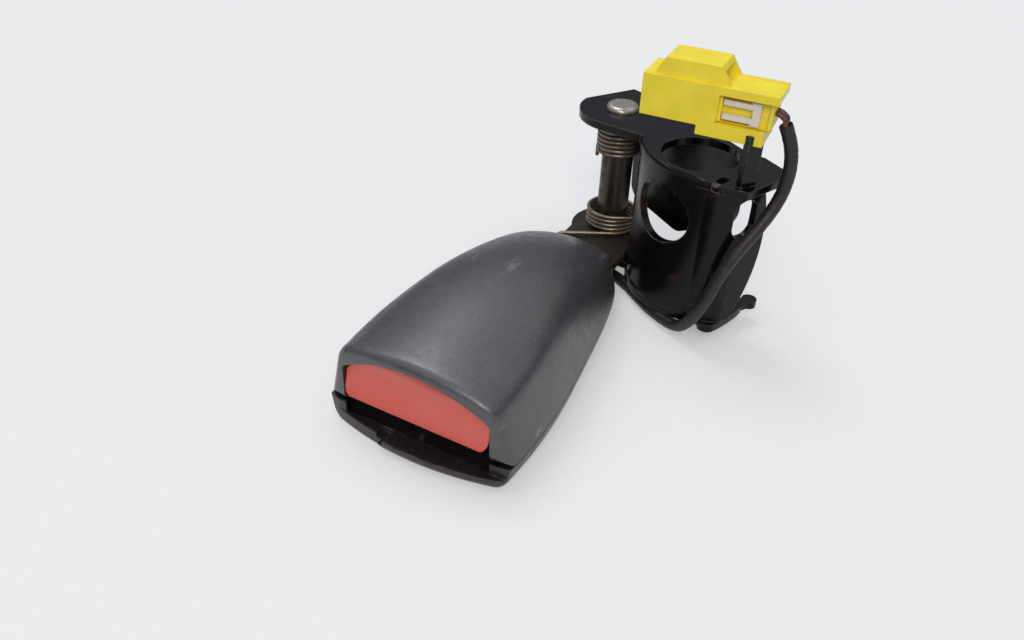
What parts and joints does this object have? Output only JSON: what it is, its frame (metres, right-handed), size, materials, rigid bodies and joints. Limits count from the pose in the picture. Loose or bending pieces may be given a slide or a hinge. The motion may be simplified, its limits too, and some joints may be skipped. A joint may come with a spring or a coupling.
{
  "type": "seat belt buckle",
  "caption": "Seat belt buckle with a red release button, plastic covers and steel strap that swivels on a pressed anchor bracket carrying a yellow lead connector.",
  "frame": {"origin": "centre of the seat bolt bore, on the underside of the bracket's base plate", "axes": "+Z along the bolt bore, up out of the base plate; +Y from the button end of the head towards the pivot; +X across the head"},
  "size_m": [0.0869, 0.1389, 0.0813],
  "materials": {
    "black_coated_steel": "glossy black electro-coat over pressed steel",
    "zinc_steel": "worn zinc plating",
    "machined_steel": "turned steel, oiled",
    "rusty_steel": "bare steel with a brown rust bloom",
    "spring_steel": "drawn spring wire, dulled",
    "black_plastic": "fine-grained moulded plastic, scuffed",
    "red_plastic": "satin moulded plastic",
    "yellow_plastic": "glossy moulded plastic",
    "white_plastic": "natural moulded plastic",
    "wire_insulation": "smooth extruded insulation",
    "black_sleeving": "matt extruded sleeving"
  },
  "bodies": {
    "bracket": {"anchor_bracket": "black_coated_steel", "pivot_rivet": "zinc_steel", "rivet_washer": "zinc_steel", "pivot_sleeve": "machined_steel", "thrust_collar": "black_coated_steel", "lower_torsion_spring": "spring_steel", "upper_torsion_spring": "spring_steel", "connector_housing": "yellow_plastic", "connector_plug": "yellow_plastic", "connector_wires": "wire_insulation", "lead_sleeve": "black_sleeving"},
    "head": {"anchor_strap": "rusty_steel", "strap_rivets": "zinc_steel", "buckle_frame": "zinc_steel", "upper_cover": "black_plastic", "lower_cover": "black_plastic", "latch_pin": "zinc_steel", "spring_seat": "white_plastic", "switch_housing": "black_plastic", "head_wires": "wire_insulation", "latch_spring": "spring_steel", "ejector_spring": "spring_steel", "lock_bar_spring": "spring_steel"},
    "button": {"release_button": "red_plastic"},
    "lock_bar": {"lock_bar": "zinc_steel"},
    "latch": {"latch": "zinc_steel"},
    "ejector": {"ejector": "white_plastic"},
    "switch_plunger": {"switch_plunger": "white_plastic"},
    "connector_lock": {"connector_lock": "white_plastic"}
  },
  "joints": [
    {"name": "head_swivel", "type": "hinge", "parent": "bracket", "child": "head", "pos_m": [-0.03172, 0.01726, 0.004], "axis": [0, 0, 1], "range_deg": [-30, 6], "stiffness_Nm_per_rad": 0.25, "deforming": ["lower_torsion_spring", "lead_sleeve"]},
    {"name": "button_slide", "type": "slide", "parent": "head", "child": "button", "axis": [0, 1, 0], "range_m": [0, 0.005], "stiffness_N_per_m": 1500},
    {"name": "lock_bar_slide", "type": "slide", "parent": "head", "child": "lock_bar", "axis": [0, 1, 0], "range_m": [0, 0.005], "deforming": ["lock_bar_spring"]},
    {"name": "ejector_slide", "type": "slide", "parent": "head", "child": "ejector", "axis": [0, 1, 0], "range_m": [0, 0.014], "stiffness_N_per_m": 900, "deforming": ["ejector_spring"]},
    {"name": "latch_hinge", "type": "hinge", "parent": "head", "child": "latch", "pos_m": [-0.03172, -0.04524, 0.0125], "axis": [1, 0, 0], "range_deg": [0, 8], "deforming": ["latch_spring"]},
    {"name": "switch_plunger_slide", "type": "slide", "parent": "head", "child": "switch_plunger", "axis": [0, 1, 0], "range_m": [0, 0.002]},
    {"name": "connector_lock_slide", "type": "slide", "parent": "bracket", "child": "connector_lock", "axis": [0.9981, 0.061, 0], "range_m": [0, 0.002]}
  ],
  "couplings": [
    {"joint": "lock_bar_slide", "follows": "button_slide", "ratio": 1},
    {"joint": "latch_hinge", "follows": "ejector_slide", "rad_per_m": 9.9733},
    {"joint": "switch_plunger_slide", "follows": "ejector_slide", "ratio": 0.14286}
  ]
}
